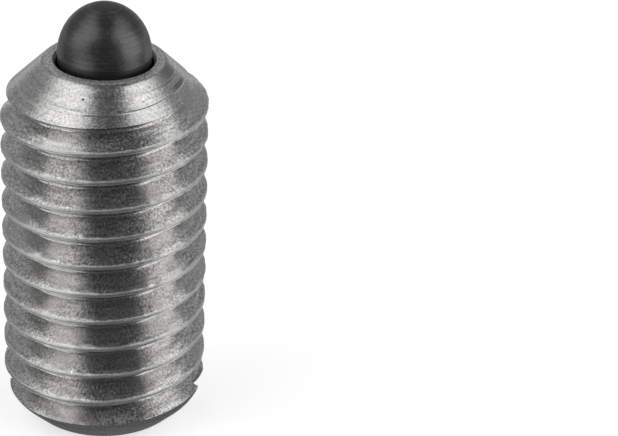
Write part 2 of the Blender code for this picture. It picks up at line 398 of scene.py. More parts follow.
def make_thread_rod():
    """A closed threaded rod longer than the sleeve, with lips and small tears on its crest."""
    section = thread_section()
    per_turn = len(section)
    first_turn = -SPARE_TURNS
    turns = math.ceil(SLEEVE_LENGTH / PITCH) + 2 * SPARE_TURNS
    verts = thread_rod_surface(section, first_turn, turns)
    last = turns * per_turn - 1

    def corner(row, step):
        """A point's index. A row ends where the row one turn further on starts."""
        if step == THREAD_STEPS:
            return (row + per_turn) * THREAD_STEPS
        return row * THREAD_STEPS + step

    faces = []
    for row in range(last):
        for step in range(THREAD_STEPS):
            if step == THREAD_STEPS - 1 and row + per_turn >= last:
                continue
            lower = (corner(row, step), corner(row, step + 1))
            upper = (corner(row + 1, step + 1), corner(row + 1, step))
            faces.append(lower + upper)
    bottom_ring = [corner(0, step) for step in range(THREAD_STEPS)]
    bottom_ring += [corner(row, 0) for row in range(per_turn, 0, -1)]
    top_ring = [corner(last, step) for step in range(THREAD_STEPS)]
    top_ring += [corner(row, THREAD_STEPS - 1) for row in range(last - 1, last - per_turn - 1, -1)]
    bottom_point = len(verts)
    verts.append((0.0, 0.0, CREST_HEIGHT_OVER_X + (first_turn - 1) * PITCH))
    top_point = len(verts)
    verts.append((0.0, 0.0, CREST_HEIGHT_OVER_X + (first_turn + turns + 2) * PITCH))
    for first, second in zip(bottom_ring, bottom_ring[1:] + bottom_ring[:1]):
        faces.append((bottom_point, second, first))
    for first, second in zip(top_ring, top_ring[1:] + top_ring[:1]):
        faces.append((top_point, first, second))
    return mesh_object("thread_rod", verts, faces, [THREAD] * len(faces))


def rim_centre():
    """The centre (radius, height) of the arc between the rim's flat top and the nose cone."""
    return RIM_FLAT_RADIUS, SLEEVE_LENGTH - RIM_ROUNDING


def base_outline():
    """The slotted end from its rounded shoulder down the lead-in cone and round the edge to the flat face."""
    edge = arc(
        BASE_FLAT_RADIUS,
        BASE_EDGE_RADIUS,
        BASE_EDGE_RADIUS,
        BASE_CONE_ANGLE - math.pi / 2,
        -math.pi / 2,
        ARC_STEPS,
    )
    cone_radius, cone_height = edge[0]
    shoulder_foot = cone_height + (BASE_SHOULDER_RADIUS - cone_radius) * math.tan(BASE_CONE_ANGLE)
    shoulder = arc(
        BASE_SHOULDER_RADIUS - BASE_SHOULDER_ROUNDING * math.sin(BASE_CONE_ANGLE),
        shoulder_foot + BASE_SHOULDER_ROUNDING * math.cos(BASE_CONE_ANGLE),
        BASE_SHOULDER_ROUNDING,
        -BASE_SHOULDER_TOP_SLOPE,
        BASE_CONE_ANGLE - math.pi / 2,
        ARC_STEPS,
    )
    return shoulder + edge


def make_blank():
    """The turned and bored blank, without its thread and slot."""
    cone_normal = math.pi / 2 - NOSE_CONE_ANGLE
    rim = arc(*rim_centre(), RIM_ROUNDING, math.pi / 2, cone_normal, ARC_STEPS)
    chamfer_foot = SLEEVE_LENGTH - HOLE_CHAMFER * math.tan(HOLE_CHAMFER_ANGLE)
    hole = [
        (HOLE_RADIUS, LIP_UNDERSIDE),
        (HOLE_RADIUS, chamfer_foot),
        (HOLE_RADIUS + HOLE_CHAMFER, SLEEVE_LENGTH),
    ]
    nose_radius, nose_top = rim[-1]
    wide = CREST_RADIUS + BLANK_ALLOWANCE
    nose_foot = (wide, nose_top - (wide - nose_radius) * math.tan(NOSE_CONE_ANGLE))
    base = base_outline()
    base_top = (wide, base[0][1] + BLANK_ALLOWANCE)
    bore = [
        (0.0, BORE_FLOOR - DRILL_POINT_HEIGHT),
        (DRILL_POINT_RADIUS, BORE_FLOOR),
        (BORE_RADIUS, BORE_FLOOR),
        (BORE_RADIUS, BORE_TOP),
    ]
    nose = hole + rim + blend_points(rim[-1], nose_foot, ARC_STEPS)
    profile = with_value(bore, BORED)
    profile += with_value(nose + [nose_foot, base_top] + base[:-1], TURNED)
    profile += with_value([base[-1], (0.0, 0.0)], FACED)
    return lathe("sleeve_blank", profile, LATHE_STEPS)


def make_slot_cutter():
    """The saw cut: a long bar that rounds the slot's two inner corners and flares a little at its mouth."""
    half = SLOT_WIDTH / 2
    mouth = half + SLOT_MOUTH_CHAMFER
    corner = arc(
        half - SLOT_CORNER_RADIUS,
        SLOT_DEPTH - SLOT_CORNER_RADIUS,
        SLOT_CORNER_RADIUS,
        0.0,
        math.pi / 2,
        SLOT_CORNER_STEPS,
    )
    right = [(mouth, -CUTTER_OVERSHOOT), (mouth, 0.0), (half, SLOT_MOUTH_CHAMFER)] + corner
    outline = right + [(-across, height) for across, height in reversed(right)]
    reach = CREST_RADIUS + CUTTER_OVERSHOOT
    count = len(outline)
    verts = [(-reach, across, height) for across, height in outline]
    verts += [(reach, across, height) for across, height in outline]
    faces = [tuple(range(count))[::-1], tuple(range(count, 2 * count))]
    for index in range(count):
        after = (index + 1) % count
        faces.append((index, after, after + count, index + count))
    return mesh_object("slot_cutter", verts, faces, [SAWN] * len(faces))


def add_boolean(target, tool, operation):
    boolean = target.modifiers.new(tool.name, "BOOLEAN")
    boolean.operation = operation
    boolean.solver = "MANIFOLD"
    boolean.object = tool


def bake_modifiers(target):
    """Replace the object's mesh by what its modifiers make of it."""
    bpy.context.view_layer.update()
    depsgraph = bpy.context.evaluated_depsgraph_get()
    mesh = bpy.data.meshes.new_from_object(target.evaluated_get(depsgraph))
    target.modifiers.clear()
    target.data = mesh


def shade_by_angle(target):
    """Smooth shading, broken at sharp edges."""
    target.data.shade_smooth()
    target.data.set_sharp_from_angle(angle=SHARP_EDGE_ANGLE)


def recalculate_normals(target):
    bm = bmesh.new()
    bm.from_mesh(target.data)
    bmesh.ops.recalc_face_normals(bm, faces=bm.faces)
    bm.to_mesh(target.data)
    bm.free()


def read_all(items, field, width=1, kind=float):
    """A numpy array of the field of every item of a mesh, with width numbers for each."""
    values = np.empty(len(items) * width, dtype=kind)
    items.foreach_get(field, values)
    return values if width == 1 else values.reshape(-1, width)


def unroll_thread(target):
    """A UV map in millimetres: U runs along the helix, V is the height from the nearest crest."""
    mesh = target.data
    full_turn = 2 * math.pi
    corner = read_all(mesh.vertices, "co", 3)[read_all(mesh.loops, "vertex_index", kind=np.int64)] / MM
    corners_of_face = read_all(mesh.polygons, "loop_total", kind=np.int64)
    centre = read_all(mesh.polygons, "center", 3) / MM
    face_angle = np.arctan2(centre[:, 1], centre[:, 0]) % full_turn
    face_turn = np.round((centre[:, 2] - CREST_HEIGHT_OVER_X) / PITCH - face_angle / full_turn)
    face_angle = np.repeat(face_angle, corners_of_face)
    turn = np.repeat(face_turn, corners_of_face)
    angle = np.arctan2(corner[:, 1], corner[:, 0])
    angle += full_turn * np.round((face_angle - angle) / full_turn)
    along = CREST_RADIUS * (angle + full_turn * turn)
    crest = CREST_HEIGHT_OVER_X + PITCH * (turn + angle / full_turn)
    layer = mesh.uv_layers.new(name="unrolled")
    layer.data.foreach_set("uv", np.stack([along, corner[:, 2] - crest], axis=1).ravel())


def make_sleeve(materials):
    """The blank with its thread and slot, as one piece that stays with the sleeve's body."""
    blank = make_blank()
    rod = make_thread_rod()
    cutter = make_slot_cutter()
    for form in (blank, rod, cutter):
        recalculate_normals(form)
        for material in materials:
            form.data.materials.append(material)
    add_boolean(blank, rod, "INTERSECT")
    add_boolean(blank, cutter, "DIFFERENCE")
    bake_modifiers(blank)
    bpy.data.objects.remove(rod)
    bpy.data.objects.remove(cutter)
    blank.name = "sleeve_fine"
    shade_by_angle(blank)
    unroll_thread(blank)
    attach(blank, "sleeve")
    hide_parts("threaded_sleeve")


# Pin and spring


def make_pin(material):
    """The domed pin, with the collar that keeps it in and the spigot that centres the spring."""
    flat_angle = math.acos(PIN_TIP_FLAT_RADIUS / PIN_RADIUS)
    dome_foot = PIN_TIP - PIN_DOME_HEIGHT
    lift = PIN_TIP - (dome_foot + PIN_DOME_HEIGHT * math.sin(flat_angle))
    dome = arc(0.0, dome_foot + lift, PIN_RADIUS, flat_angle, 0.0, DOME_STEPS, PIN_DOME_HEIGHT)
    stem = [
        (PIN_RADIUS, PIN_COLLAR_SHOULDER),
        (PIN_COLLAR_RADIUS, PIN_COLLAR_TOP),
        (PIN_COLLAR_RADIUS, PIN_COLLAR_FOOT),
        (PIN_SPIGOT_RADIUS, PIN_COLLAR_FOOT),
        (PIN_SPIGOT_RADIUS, PIN_FOOT + PIN_SPIGOT_CHAMFER),
        (PIN_SPIGOT_RADIUS - PIN_SPIGOT_CHAMFER, PIN_FOOT),
        (0.0, PIN_FOOT),
    ]
    pin = lathe("pin_fine", with_value([(0.0, PIN_TIP)] + dome + stem, 0), LATHE_STEPS)
    recalculate_normals(pin)
    pin.data.materials.append(material)
    shade_by_angle(pin)
    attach(pin, "pin")
    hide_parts("thrust_pin")


def make_spring(material):
    """A coil of wire with closed end turns, that stays with the sleeve's body."""
    curve = bpy.data.curves.new("spring_line", "CURVE")
    curve.dimensions = "3D"
    curve.bevel_depth = WIRE_RADIUS * MM
    curve.bevel_resolution = WIRE_RESOLUTION
    curve.use_fill_caps = True
    turns = ACTIVE_TURNS + 2 * CLOSED_TURNS
    closed_rise = 2 * WIRE_RADIUS + CLOSED_TURN_GAP
    centre_rise = SPRING_TOP - SPRING_FOOT - 2 * WIRE_RADIUS
    active_rise = (centre_rise - 2 * CLOSED_TURNS * closed_rise) / ACTIVE_TURNS
    line = curve.splines.new("POLY")
    line.points.add(turns * SPRING_STEPS)
    for index, point in enumerate(line.points):
        turn = index / SPRING_STEPS
        closed = min(turn, CLOSED_TURNS) + max(turn - CLOSED_TURNS - ACTIVE_TURNS, 0.0)
        rise = closed * closed_rise + (turn - closed) * active_rise
        place = round_axis(COIL_RADIUS, 2 * math.pi * turn, SPRING_FOOT + WIRE_RADIUS + rise)
        point.co = (*(value * MM for value in place), 1.0)
    source = bpy.data.objects.new("spring_line", curve)
    bpy.context.scene.collection.objects.link(source)
    bpy.context.view_layer.update()
    depsgraph = bpy.context.evaluated_depsgraph_get()
    mesh = bpy.data.meshes.new_from_object(source.evaluated_get(depsgraph))
    bpy.data.objects.remove(source)
    spring = bpy.data.objects.new("spring_fine", mesh)
    bpy.context.scene.collection.objects.link(spring)
    mesh.materials.clear()
    mesh.materials.append(material)
    shade_by_angle(spring)
    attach(spring, "sleeve")
    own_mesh(spring)
    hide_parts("spring")


# Materials


class Tree:
    """Short calls for building one material's nodes. Values may be numbers or the outputs of other nodes."""

    def __init__(self, name):
        self.material = bpy.data.materials.new(name)
        self.material.use_nodes = True
        self.nodes = self.material.node_tree.nodes
        self.links = self.material.node_tree.links
        self.shader = self.nodes["Principled BSDF"]
        self.output = self.nodes["Material Output"]

    def feed(self, socket, value):
        """Link the socket to a node's output, or set it to a plain value."""
        if isinstance(value, bpy.types.NodeSocket):
            self.links.new(value, socket)
        else:
            socket.default_value = value

    def math(self, operation, first, second=0.0, third=0.0):
        node = self.nodes.new("ShaderNodeMath")
        node.operation = operation
        for socket, value in zip(node.inputs, (first, second, third)):
            self.feed(socket, value)
        return node.outputs[0]

    def place(self):
        """Object coordinates in millimetres."""
        coordinates = self.nodes.new("ShaderNodeTexCoord")
        scale = self.nodes.new("ShaderNodeVectorMath")
        scale.operation = "SCALE"
        self.links.new(coordinates.outputs["Object"], scale.inputs[0])
        scale.inputs["Scale"].default_value = 1 / MM
        return scale.outputs[0]

    def unrolled(self):
        """Millimetres along the thread and up from its nearest crest."""
        node = self.nodes.new("ShaderNodeUVMap")
        node.uv_map = "unrolled"
        return node.outputs[0]

    def split(self, vector):
        node = self.nodes.new("ShaderNodeSeparateXYZ")
        self.links.new(vector, node.inputs[0])
        return node.outputs

    def join(self, x, y, z):
        node = self.nodes.new("ShaderNodeCombineXYZ")
        for socket, value in zip(node.inputs, (x, y, z)):
            self.feed(socket, value)
        return node.outputs[0]

    def noise(self, vector, scale=1.0, detail=2.0, roughness=0.5, distortion=0.0):
        node = self.nodes.new("ShaderNodeTexNoise")
        self.links.new(vector, node.inputs["Vector"])
        node.inputs["Scale"].default_value = scale
        node.inputs["Detail"].default_value = detail
        node.inputs["Roughness"].default_value = roughness
        node.inputs["Distortion"].default_value = distortion
        return node.outputs["Fac"]

    def between(self, value, low, high, to_low=0.0, to_high=1.0):
        """Smooth step of value from low to high, mapped to the other two numbers."""
        node = self.nodes.new("ShaderNodeMapRange")
        node.interpolation_type = "SMOOTHSTEP"
        self.feed(node.inputs["Value"], value)
        node.inputs["From Min"].default_value = low
        node.inputs["From Max"].default_value = high
        node.inputs["To Min"].default_value = to_low
        node.inputs["To Max"].default_value = to_high
        return node.outputs["Result"]

    def mix(self, factor, first, second):
        node = self.nodes.new("ShaderNodeMix")
        node.data_type = "RGBA"
        self.feed(node.inputs["Factor"], factor)
        self.feed(node.inputs["A"], first)
        self.feed(node.inputs["B"], second)
        return node.outputs["Result"]

    def bump(self, height, depth):
        """A bump; height is from 0 to 1 and depth is in millimetres."""
        node = self.nodes.new("ShaderNodeBump")
        node.inputs["Strength"].default_value = 1.0
        node.inputs["Distance"].default_value = depth * MM
        self.links.new(height, node.inputs["Height"])
        self.links.new(node.outputs["Normal"], self.shader.inputs["Normal"])

    def stretched(self, vector, scales):
        """The vector with each part multiplied by its own scale."""
        parts = self.split(vector)
        scaled = [self.math("MULTIPLY", part, scale) for part, scale in zip(parts, scales)]
        return self.join(*scaled)

    def contrast(self, value, low=0.36, high=0.64):
        """Spread the middle of a noise over 0 to 1."""
        return self.between(value, low, high)

    def most(self, *values):
        result = values[0]
        for value in values[1:]:
            result = self.math("MAXIMUM", result, value)
        return result

    def product(self, *values):
        result = values[0]
        for value in values[1:]:
            result = self.math("MULTIPLY", result, value)
        return result

    def total(self, *terms):
        """Sum of (value, weight) pairs."""
        result = 0.0
        for value, weight in terms:
            result = self.math("MULTIPLY_ADD", value, weight, result)
        return result

    def line(self, value, centre, half_width, softness):
        """1 where value is within half_width of centre, falling to 0 over the softness."""
        away = self.math("ABSOLUTE", self.math("SUBTRACT", value, centre))
        return self.between(away, half_width, half_width + softness, 1.0, 0.0)

    def axis_distance(self, vector):
        x, y, _ = self.split(vector)
        return self.math("SQRT", self.math("ADD", self.product(x, x), self.product(y, y)))

    def azimuth(self, vector):
        """Degrees round the axis from +X, from -180 to 180."""
        x, y, _ = self.split(vector)
        return self.math("MULTIPLY", self.math("ARCTAN2", y, x), math.degrees(1))

    def span(self, value, start, end, softness):
        """1 between start and end, falling to 0 over the softness outside them."""
        rise = self.between(value, start - softness, start)
        return self.product(rise, self.between(value, end, end + softness, 1.0, 0.0))

    def spot(self, vector, centre, size):
        """1 near the centre, falling to 0 at the size from it."""
        node = self.nodes.new("ShaderNodeVectorMath")
        node.operation = "DISTANCE"
        self.links.new(vector, node.inputs[0])
        node.inputs[1].default_value = centre
        core = 0.55 * size
        return self.between(node.outputs["Value"], core, size, 1.0, 0.0)

    def set_metal(self, colour, roughness, metallic=1.0):
        self.feed(self.shader.inputs["Base Color"], colour)
        self.feed(self.shader.inputs["Roughness"], roughness)
        self.shader.inputs["Metallic"].default_value = metallic


def grey(level, warmth=0.0):
    """A grey; its warmth is the share by which red stands above green, and green above blue."""
    return (level * (1 + warmth), level, level * (1 - warmth), 1.0)


def on_nose(azimuth_degrees, radius):
    """The point of the rim or the nose cone at an azimuth and a distance from the axis."""
    cone_normal = math.pi / 2 - NOSE_CONE_ANGLE
    centre_radius, centre_height = rim_centre()
    cone_radius = centre_radius + RIM_ROUNDING * math.cos(cone_normal)
    if radius < centre_radius:
        height = SLEEVE_LENGTH
    elif radius < cone_radius:
        height = centre_height + math.sqrt(RIM_ROUNDING ** 2 - (radius - centre_radius) ** 2)
    else:
        height = centre_height + RIM_ROUNDING * math.sin(cone_normal)
        height -= (radius - cone_radius) * math.tan(NOSE_CONE_ANGLE)
    return round_axis(radius, math.radians(azimuth_degrees), height)


def sort_mark(tree, place, top):
    """The dark mark across the slotted end, along Y, with ragged edges and thin places.

    It lies on the flat end on both sides of the slot, and on the +Y side it fades out below the top height.
    """
    x, y, z = tree.split(place)
    edge = tree.noise(tree.stretched(place, (3.0, 2.0, 2.0)), detail=3.0)
    across = tree.math("ADD", x, tree.math("MULTIPLY_ADD", edge, 0.12, -0.06))
    band = tree.line(across, 0.0, SORT_MARK_WIDTH / 2, 0.05)
    on_side = tree.product(tree.between(z, SORT_MARK_FADE_START, top, 1.0, 0.0), tree.between(y, 0.0, 1.0))
    on_flat = tree.between(z, 0.005, 0.03, 1.0, 0.0)
    thin = tree.noise(place, scale=5.0, detail=4.0, roughness=0.7)
    return tree.product(band, tree.most(on_side, on_flat), tree.between(thin, 0.30, 0.50, 0.55, 1.0))


def thread_material():
    """Cut thread: lines along the helix, torn grain, roots darkened as painted shade, and a dark broken line
    of painted shade in the crest's seam.
    """
    tree = Tree("cut_thread")
    uv = tree.unrolled()
    place = tree.place()
    _, across, _ = tree.split(uv)
    lines = tree.noise(tree.stretched(uv, (0.7, 9.0, 0.0)), detail=3.0, roughness=0.6)
    grain = tree.noise(tree.stretched(uv, (8.5, 13.0, 0.0)), detail=2.0, roughness=0.6)
    pits = tree.noise(tree.stretched(uv, (5.5, 15.0, 0.0)), detail=2.0, distortion=0.4)
    patches = tree.noise(place, scale=0.42, detail=3.0)
    crest = tree.line(across, 0.0, CREST_WIDTH / 2, 0.03)
    flank = tree.math("SUBTRACT", 1.0, crest)

    torn = tree.product(tree.between(pits, 0.61, 0.67), tree.between(patches, 0.40, 0.58))
    height = tree.total((lines, 0.75), (grain, 0.35), (torn, -0.5))
    tree.bump(tree.product(height, tree.math("MULTIPLY_ADD", flank, 0.75, 0.25)), 0.009)

    bright = tree.total((tree.contrast(grain, 0.40, 0.60), 0.65), (tree.contrast(lines), 0.35))
    smooth = tree.mix(bright, grey(0.50, 0.012), grey(0.80, 0.010))
    coarse = tree.mix(bright, grey(0.32, 0.012), grey(0.97, 0.010))
    base = tree.mix(tree.between(patches, 0.38, 0.54), smooth, coarse)
    base = tree.mix(tree.product(crest, 0.6), base, grey(0.66, 0.010))
    # Painted shade: the roots, down between the flanks, are darkened towards a dark grey.
    root = tree.between(tree.math("ABSOLUTE", across), 0.40, 0.74)
    base = tree.mix(tree.product(root, 0.30), base, grey(0.16, 0.02))

    # The crest's seam is a real shallow crease in the mesh; the dark broken line painted along it is painted
    # shade.
    wander = tree.noise(tree.stretched(uv, (1.6, 0.0, 0.0)), detail=4.0)
    seam_place = tree.math("ADD", across, tree.math("MULTIPLY_ADD", wander, 0.10, -0.05))
    gaps = tree.noise(tree.stretched(uv, (0.9, 1.0, 0.0)), detail=5.0, roughness=0.7)
    seam = tree.product(tree.line(seam_place, -0.02, 0.014, 0.020), tree.between(gaps, 0.36, 0.46))
    dark = tree.most(tree.product(torn, 0.40), tree.product(seam, 0.50))
    base = tree.mix(dark, base, grey(0.03, 0.02))
    mark = sort_mark(tree, place, SORT_MARK_TOP_ON_THREAD)
    base = tree.mix(tree.product(mark, 0.75), base, SORT_MARK_ON_THREAD)
    rough = tree.total(
        (tree.contrast(grain), 0.06),
        (patches, 0.08),
        (dark, 0.15),
        (crest, 0.22),
        (mark, 0.12),
        (1.0, 0.14),
    )
    tree.set_metal(base, rough)
    return tree.material


def nose_step(tree, place, radius, x):
    """Where the tool's step round the nose stands up, and where it is cut in: two masks from 0 to 1.

    The step is a fine line on both sides of the nose and a wide blotchy one in front, with a second fine
    line outside it. Spans are azimuths in degrees.
    """
    azimuth = tree.azimuth(place)
    drift = tree.between(x, 2.1, 3.9, 0.0, -NOSE_STEP_DRIFT)
    past = tree.math("SUBTRACT", tree.math("SUBTRACT", radius, drift), NOSE_STEP_RADIUS)
    fine = tree.line(past, -0.015, 0.005, 0.026)
    left_start = tree.between(azimuth, -128.0, -108.0, 0.0, 0.5)
    left_end = tree.between(azimuth, -98.0, -92.0, 1.0, 0.0)
    left = tree.product(fine, left_start, left_end)
    right = tree.product(fine, tree.span(azimuth, -60.0, -27.0, 8.0))
    blotches = tree.between(tree.noise(place, scale=2.2, detail=3.0), 0.36, 0.56)
    wide = tree.line(past, -0.03, 0.02, 0.05)
    middle = tree.product(wide, blotches, tree.span(azimuth, -96.0, -70.0, 6.0), 0.85)
    second = tree.product(tree.line(past, 0.115, 0.004, 0.024), tree.span(azimuth, -90.0, -72.0, 6.0))
    groove = tree.most(left, right, middle, second)
    front = tree.product(tree.span(azimuth, -102.0, -60.0, 8.0), 0.5)
    side = tree.span(azimuth, -20.0, 16.0, 6.0)
    ridge_and_highlight = tree.product(tree.line(past, 0.045, 0.006, 0.026), tree.most(front, side))
    return ridge_and_highlight, groove


def nose_stains(tree, place, radius):
    """The pits, oily stains and short scratches of the nose, as one mask from 0 to 1."""
    azimuth = tree.azimuth(place)
    streak_place = tree.join(tree.product(azimuth, 0.05), tree.product(radius, 7.0), 0.0)
    streaks = tree.between(tree.noise(streak_place, detail=3.0), 0.30, 0.55, 0.45, 1.0)
    dark = 0.0
    # A stain is at its darkest in its middle and fades out just past its sides
    for centre, distance, half_angle, half_depth, share in NOSE_STAINS:
        along = tree.line(azimuth, centre, half_angle * 0.5, half_angle * 0.7)
        across = tree.line(radius, distance, half_depth * 0.4, half_depth * 0.8)
        dark = tree.most(dark, tree.product(along, across, streaks, share))
    for centre, distance, size in NOSE_PITS:
        dark = tree.most(dark, tree.spot(place, on_nose(centre, distance), size))
    return dark


def turned_material():
    """Turned ends: rings and grain, torn specks, the nose's step with a painted highlight on its ridge and
    painted shade in its groove, flecks and stains, and a speckled rim.
    """
    tree = Tree("turned_end")
    place = tree.place()
    radius = tree.axis_distance(place)
    x, y, z = tree.split(place)
    outward = tree.math("SUBTRACT", radius, z)
    ring_place = tree.join(tree.product(x, 0.25), tree.product(y, 0.25), tree.product(outward, 7.0))
    rings = tree.noise(ring_place, detail=5.0, roughness=0.65)
    grain = tree.noise(place, scale=8.0, detail=4.0, roughness=0.7)
    pits = tree.noise(place, scale=9.0, detail=2.0, distortion=0.4)
    patches = tree.noise(place, scale=0.5, detail=3.0)
    on_nose_end = tree.between(z, SLEEVE_LENGTH - 3.0, SLEEVE_LENGTH - 2.5)

    ridge_and_highlight, groove = (tree.product(mask, on_nose_end) for mask in nose_step(tree, place, radius, x))
    torn = tree.product(tree.between(pits, 0.66, 0.71), tree.between(patches, 0.44, 0.60))
    height = tree.total((rings, 0.5), (grain, 0.5), (torn, -0.5), (ridge_and_highlight, 0.8), (groove, -0.8))
    tree.bump(height, 0.012)

    bright = tree.total((tree.contrast(grain, 0.40, 0.60), 0.6), (tree.contrast(rings), 0.4))
    base = tree.mix(bright, grey(0.42, 0.010), grey(0.80, 0.010))
    rim = tree.product(tree.span(radius, *RIM_BAND, 0.08), on_nose_end)
    rim_flecks = tree.product(rim, tree.between(grain, 0.46, 0.54, 0.10, 1.0))
    # The ridge of the nose's step is made lighter as a painted highlight; the rim's and the nose's flecks
    # join it in this mask.
    light = tree.most(tree.product(ridge_and_highlight, 0.7), rim_flecks)
    for azimuth, distance, size in NOSE_FLECKS:
        light = tree.most(light, tree.spot(place, on_nose(azimuth, distance), size))
    base = tree.mix(light, base, grey(0.95, 0.005))
    stains = nose_stains(tree, place, radius)
    # The groove of the nose's step is darkened as painted shade, in one mask with the torn specks and the
    # stains.
    dark = tree.most(tree.product(groove, 0.65), tree.product(torn, 0.5), stains)
    base = tree.mix(dark, base, grey(0.035, 0.06))
    mark = sort_mark(tree, place, SORT_MARK_TOP)
    base = tree.mix(tree.product(mark, 0.95), base, SORT_MARK_COLOUR)
    rough = tree.total(
        (tree.contrast(grain), 0.06),
        (patches, 0.10),
        (dark, 0.20),
        (mark, 0.20),
        (rim, 0.28),
        (1.0, 0.15),
    )
    tree.set_metal(base, rough)
    return tree.material


def plain_steel(name, level, roughness):
    """Dull steel with fine grain, for the bore and the spring."""
    tree = Tree(name)
    grain = tree.noise(tree.place(), scale=6.0, detail=3.0, roughness=0.6)
    tree.bump(grain, 0.006)
    base = tree.mix(tree.contrast(grain), grey(level * 0.7), grey(level * 1.3))
    tree.set_metal(base, tree.between(grain, 0.3, 0.7, roughness - 0.05, roughness + 0.08))
    return tree.material


def faced_material():
    """Faced end: fine even grain, faint circular tool lines and the dark mark."""
    tree = Tree("faced_end")
    place = tree.place()
    radius = tree.axis_distance(place)
    x, y, _ = tree.split(place)
    ring_place = tree.join(tree.product(x, 0.4), tree.product(y, 0.4), tree.product(radius, 9.0))
    rings = tree.noise(ring_place, detail=3.0)
    grain = tree.noise(place, scale=9.0, detail=4.0, roughness=0.7)
    tree.bump(tree.total((rings, 0.3), (grain, 0.7)), 0.008)
    base = tree.mix(tree.contrast(grain, 0.3, 0.7), grey(0.30, 0.01), grey(0.42, 0.01))
    mark = sort_mark(tree, place, SORT_MARK_TOP)
    base = tree.mix(tree.product(mark, 0.95), base, SORT_MARK_COLOUR)
    tree.set_metal(base, tree.total((tree.contrast(grain), 0.10), (mark, 0.1), (1.0, 0.36)))
    return tree.material


def sawn_material():
    """Sawn slot: lines along the cut, darkened towards its middle as painted shade deep under the part, and
    paler at both of its open ends.
    """
    tree = Tree("sawn_slot")
    place = tree.place()
    x, _, _ = tree.split(place)
    lines = tree.noise(tree.stretched(place, (0.4, 12.0, 9.0)), detail=3.0)
    grain = tree.noise(place, scale=7.0, detail=3.0, roughness=0.6)
    tree.bump(tree.total((lines, 0.7), (grain, 0.3)), 0.012)
    # Painted shade: the slot's colour is scaled down towards its middle, deep under the part, and up towards
    # its open ends.
    painted_slot_shade = tree.between(tree.math("ABSOLUTE", x), 2.6, 4.3, 0.10, 0.85)
    base = tree.mix(tree.contrast(lines), grey(0.7, 0.03), grey(1.0, 0.03))
    tint = tree.nodes.new("ShaderNodeVectorMath")
    tint.operation = "SCALE"
    tree.links.new(base, tint.inputs[0])
    tree.links.new(painted_slot_shade, tint.inputs["Scale"])
    tree.set_metal(tint.outputs[0], tree.between(grain, 0.3, 0.7, 0.36, 0.50))
    return tree.material


def pin_material():
    """Blackened pin: satin, with turning lines, a ring round its tip, a painted highlight round the dome's
    foot and a shank darkened as painted shade where it goes down into the hole.
    """
    tree = Tree("blackened_pin")
    place = tree.place()
    _, _, z = tree.split(place)
    radius = tree.axis_distance(place)
    lines = tree.noise(tree.stretched(place, (0.5, 0.5, 9.0)), detail=4.0, roughness=0.6)
    grain = tree.noise(place, scale=8.0, detail=4.0, roughness=0.65)
    dome_foot = PIN_TIP - PIN_DOME_HEIGHT
    on_dome = tree.between(z, dome_foot, dome_foot + 0.12)
    near_tip = tree.between(z, PIN_TIP - 0.6, PIN_TIP - 0.4)
    tip_ring = tree.product(tree.line(radius, PIN_TIP_RING_RADIUS, 0.010, 0.030), near_tip)
    foot_ring = tree.line(z, dome_foot + 0.06, 0.015, 0.06)
    height = tree.total((lines, 0.55), (grain, 0.45), (tip_ring, -0.6), (on_dome, -1.2))
    tree.bump(height, 0.012)
    bright = tree.total((tree.contrast(grain), 0.5), (tree.contrast(lines), 0.5))
    base = tree.mix(bright, grey(0.085, 0.005), grey(0.140, 0.005))
    base = tree.mix(tree.product(tip_ring, 0.5), base, grey(0.18))
    # Painted highlight: a light line round the dome's foot.
    base = tree.mix(tree.product(foot_ring, 0.5), base, grey(0.14))
    # Painted shade: below the dome's foot the shank goes down into the hole and is darkened.
    base = tree.mix(on_dome, grey(0.055), base)
    tree.set_metal(base, tree.total((tree.contrast(grain), 0.08), (1.0, 0.30)), 0.9)
    return tree.material


# Studio


def make_floor():
    """A wide pale floor, white to the camera, that keeps the part's soft shadow."""
    half = FLOOR_HALF_WIDTH
    corners = [(-half, -half, 0.0), (half, -half, 0.0), (half, half, 0.0), (-half, half, 0.0)]
    floor = mesh_object("floor", corners, [(0, 1, 2, 3)])
    tree = Tree("pale_floor")
    tree.shader.inputs["Base Color"].default_value = grey(FLOOR_COLOUR)
    tree.shader.inputs["Roughness"].default_value = 0.9
    tree.shader.inputs["Specular IOR Level"].default_value = 0.0
    path = tree.nodes.new("ShaderNodeLightPath")
    seen = tree.most(
        path.outputs["Is Camera Ray"],
        path.outputs["Is Glossy Ray"],
        path.outputs["Is Transmission Ray"],
    )
    glow = tree.nodes.new("ShaderNodeEmission")
    tree.links.new(tree.product(seen, FLOOR_GLOW), glow.inputs["Strength"])
    total = tree.nodes.new("ShaderNodeAddShader")
    tree.links.new(tree.shader.outputs[0], total.inputs[0])
    tree.links.new(glow.outputs[0], total.inputs[1])
    tree.links.new(total.outputs[0], tree.output.inputs["Surface"])
    floor.data.materials.append(tree.material)


def camera_axes():
    """Right, up and forward of a camera that looks at the part's axis from the photograph's side."""
    back = Vector((
        math.sin(CAMERA_AZIMUTH) * math.cos(CAMERA_ELEVATION),
        -math.cos(CAMERA_AZIMUTH) * math.cos(CAMERA_ELEVATION),
        math.sin(CAMERA_ELEVATION),
    ))
    right = Vector((math.cos(CAMERA_AZIMUTH), math.sin(CAMERA_AZIMUTH), 0.0))
    return right, right.cross(-back), -back


